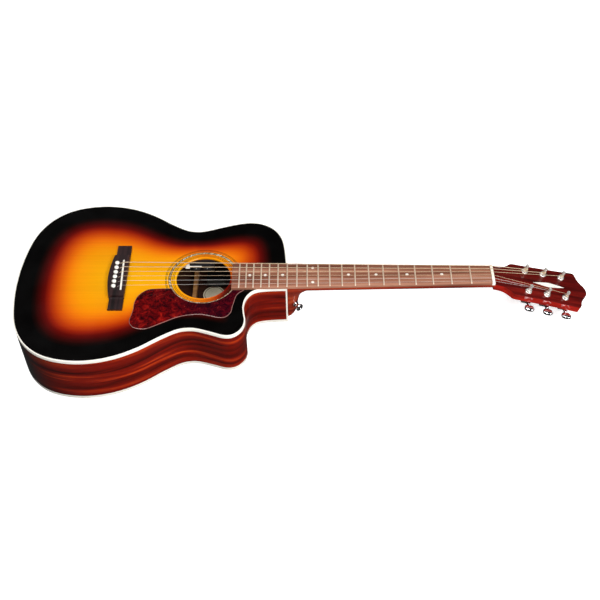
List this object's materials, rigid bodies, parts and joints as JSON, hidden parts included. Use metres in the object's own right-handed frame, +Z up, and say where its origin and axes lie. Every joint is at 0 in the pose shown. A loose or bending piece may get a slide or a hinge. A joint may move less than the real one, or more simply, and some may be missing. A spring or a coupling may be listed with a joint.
{
  "type": "cutaway acoustic-electric guitar",
  "caption": "Steel-string guitar with a hollow single-cutaway body, tapered neck, angled headstock with side knobs, pinned bridge and controls inside the sound hole.",
  "frame": {"origin": "centre of the bounding box, on the ground plane under the back", "axes": "+Z up, away from the back, normal to the flat middle of the back; +X along the neck towards the headstock; +Y towards the bass side"},
  "size_m": [1.0296, 0.3726, 0.1165],
  "materials": {
    "top_lacquer": "clear gloss lacquer over a yellow to dark red burst on spruce",
    "side_lacquer": "clear gloss lacquer over red-brown mahogany",
    "bare_wood": "bare spruce and cedar, sanded",
    "neck_lacquer": "gloss lacquer over red mahogany",
    "head_lacquer": "gloss lacquer over dark red-brown veneer",
    "ivory_plastic": "polished ivory white",
    "tortoise": "polished tortoiseshell sheet, dark red mottling",
    "pearl": "inlaid rings of light, dark and pearl-coloured strip",
    "rosewood": "oiled rosewood with nickel-silver frets",
    "dark_rosewood": "oiled dark rosewood",
    "chrome": "polished chrome plate",
    "steel": "plain drawn steel",
    "bronze": "bronze winding wire",
    "piezo": "braided brass screen",
    "black_plastic": "moulded black plastic",
    "battery_case": "plain printed metal case"
  },
  "bodies": {
    "root": {"soundboard": "top_lacquer", "rosette": "pearl", "back_plate": "side_lacquer", "side_bass": "side_lacquer", "side_treble": "side_lacquer", "cutaway_strip": "ivory_plastic", "top_binding": "ivory_plastic", "back_binding": "ivory_plastic", "top_lining": "bare_wood", "back_lining": "bare_wood", "neck_block": "bare_wood", "tail_block": "bare_wood", "top_bracing": "bare_wood", "bridge_plate": "bare_wood", "back_bracing": "bare_wood", "pickguard": "tortoise", "preamp_housing": "black_plastic", "battery": "battery_case", "endpin_jack": "chrome", "bridge": "dark_rosewood", "piezo_strip": "piezo", "saddle": "ivory_plastic", "neck": "neck_lacquer", "truss_rod": "steel", "headstock_veneer": "head_lacquer", "fingerboard": "rosewood", "nut": "ivory_plastic", "string_1": "steel", "string_2": "steel", "string_3": "bronze", "string_4": "bronze", "string_5": "bronze", "string_6": "bronze", "tuner_housing_1": "chrome", "tuner_housing_2": "chrome", "tuner_housing_3": "chrome", "tuner_housing_4": "chrome", "tuner_housing_5": "chrome", "tuner_housing_6": "chrome", "heel_strap_button": "chrome"},
    "tuner_knob_1": {"tuner_knob_1": "chrome"},
    "tuner_post_1": {"tuner_post_1": "chrome"},
    "tuner_knob_2": {"tuner_knob_2": "chrome"},
    "tuner_post_2": {"tuner_post_2": "chrome"},
    "tuner_knob_3": {"tuner_knob_3": "chrome"},
    "tuner_post_3": {"tuner_post_3": "chrome"},
    "tuner_knob_4": {"tuner_knob_4": "chrome"},
    "tuner_post_4": {"tuner_post_4": "chrome"},
    "tuner_knob_5": {"tuner_knob_5": "chrome"},
    "tuner_post_5": {"tuner_post_5": "chrome"},
    "tuner_knob_6": {"tuner_knob_6": "chrome"},
    "tuner_post_6": {"tuner_post_6": "chrome"},
    "volume_wheel": {"volume_wheel": "black_plastic"},
    "tone_wheel": {"tone_wheel": "black_plastic"},
    "bridge_pin_1": {"bridge_pin_1": "ivory_plastic"},
    "bridge_pin_2": {"bridge_pin_2": "ivory_plastic"},
    "bridge_pin_3": {"bridge_pin_3": "ivory_plastic"},
    "bridge_pin_4": {"bridge_pin_4": "ivory_plastic"},
    "bridge_pin_5": {"bridge_pin_5": "ivory_plastic"},
    "bridge_pin_6": {"bridge_pin_6": "ivory_plastic"}
  },
  "joints": [
    {"name": "knob_turn_1", "type": "hinge", "parent": "root", "child": "tuner_knob_1", "pos_m": [0.40438, -0.02396, 0.04588], "axis": [0, -1, 0], "continuous": true},
    {"name": "post_turn_1", "type": "hinge", "parent": "root", "child": "tuner_post_1", "pos_m": [0.40398, -0.02396, 0.06586], "axis": [0.2909, 0, 0.9567], "continuous": true},
    {"name": "knob_turn_2", "type": "hinge", "parent": "root", "child": "tuner_knob_2", "pos_m": [0.43787, -0.02396, 0.0357], "axis": [0, -1, 0], "continuous": true},
    {"name": "post_turn_2", "type": "hinge", "parent": "root", "child": "tuner_post_2", "pos_m": [0.43746, -0.02396, 0.05568], "axis": [0.2909, 0, 0.9567], "continuous": true},
    {"name": "knob_turn_3", "type": "hinge", "parent": "root", "child": "tuner_knob_3", "pos_m": [0.47135, -0.02396, 0.02551], "axis": [0, -1, 0], "continuous": true},
    {"name": "post_turn_3", "type": "hinge", "parent": "root", "child": "tuner_post_3", "pos_m": [0.47095, -0.02396, 0.0455], "axis": [0.2909, 0, 0.9567], "continuous": true},
    {"name": "knob_turn_4", "type": "hinge", "parent": "root", "child": "tuner_knob_4", "pos_m": [0.47135, 0.02404, 0.02551], "axis": [0, 1, 0], "continuous": true},
    {"name": "post_turn_4", "type": "hinge", "parent": "root", "child": "tuner_post_4", "pos_m": [0.47095, 0.02404, 0.0455], "axis": [0.2909, 0, 0.9567], "continuous": true},
    {"name": "knob_turn_5", "type": "hinge", "parent": "root", "child": "tuner_knob_5", "pos_m": [0.43787, 0.02404, 0.0357], "axis": [0, 1, 0], "continuous": true},
    {"name": "post_turn_5", "type": "hinge", "parent": "root", "child": "tuner_post_5", "pos_m": [0.43746, 0.02404, 0.05568], "axis": [0.2909, 0, 0.9567], "continuous": true},
    {"name": "knob_turn_6", "type": "hinge", "parent": "root", "child": "tuner_knob_6", "pos_m": [0.40438, 0.02404, 0.04588], "axis": [0, 1, 0], "continuous": true},
    {"name": "post_turn_6", "type": "hinge", "parent": "root", "child": "tuner_post_6", "pos_m": [0.40398, 0.02404, 0.06586], "axis": [0.2909, 0, 0.9567], "continuous": true},
    {"name": "volume_turn", "type": "hinge", "parent": "root", "child": "volume_wheel", "pos_m": [-0.18424, 0.03554, 0.08863], "axis": [0.0334, 0, 0.9994], "range_deg": [-135, 135]},
    {"name": "tone_turn", "type": "hinge", "parent": "root", "child": "tone_wheel", "pos_m": [-0.16425, 0.03554, 0.08796], "axis": [0.0334, 0, 0.9994], "range_deg": [-135, 135]},
    {"name": "pin_pull_1", "type": "slide", "parent": "root", "child": "bridge_pin_1", "axis": [0.0334, 0, 0.9994], "range_m": [0, 0.022]},
    {"name": "pin_pull_2", "type": "slide", "parent": "root", "child": "bridge_pin_2", "axis": [0.0334, 0, 0.9994], "range_m": [0, 0.022]},
    {"name": "pin_pull_3", "type": "slide", "parent": "root", "child": "bridge_pin_3", "axis": [0.0334, 0, 0.9994], "range_m": [0, 0.022]},
    {"name": "pin_pull_4", "type": "slide", "parent": "root", "child": "bridge_pin_4", "axis": [0.0334, 0, 0.9994], "range_m": [0, 0.022]},
    {"name": "pin_pull_5", "type": "slide", "parent": "root", "child": "bridge_pin_5", "axis": [0.0334, 0, 0.9994], "range_m": [0, 0.022]},
    {"name": "pin_pull_6", "type": "slide", "parent": "root", "child": "bridge_pin_6", "axis": [0.0334, 0, 0.9994], "range_m": [0, 0.022]}
  ],
  "couplings": [
    {"joint": "post_turn_1", "follows": "knob_turn_1", "ratio": 0.055556},
    {"joint": "post_turn_2", "follows": "knob_turn_2", "ratio": 0.055556},
    {"joint": "post_turn_3", "follows": "knob_turn_3", "ratio": 0.055556},
    {"joint": "post_turn_4", "follows": "knob_turn_4", "ratio": 0.055556},
    {"joint": "post_turn_5", "follows": "knob_turn_5", "ratio": 0.055556},
    {"joint": "post_turn_6", "follows": "knob_turn_6", "ratio": 0.055556}
  ]
}
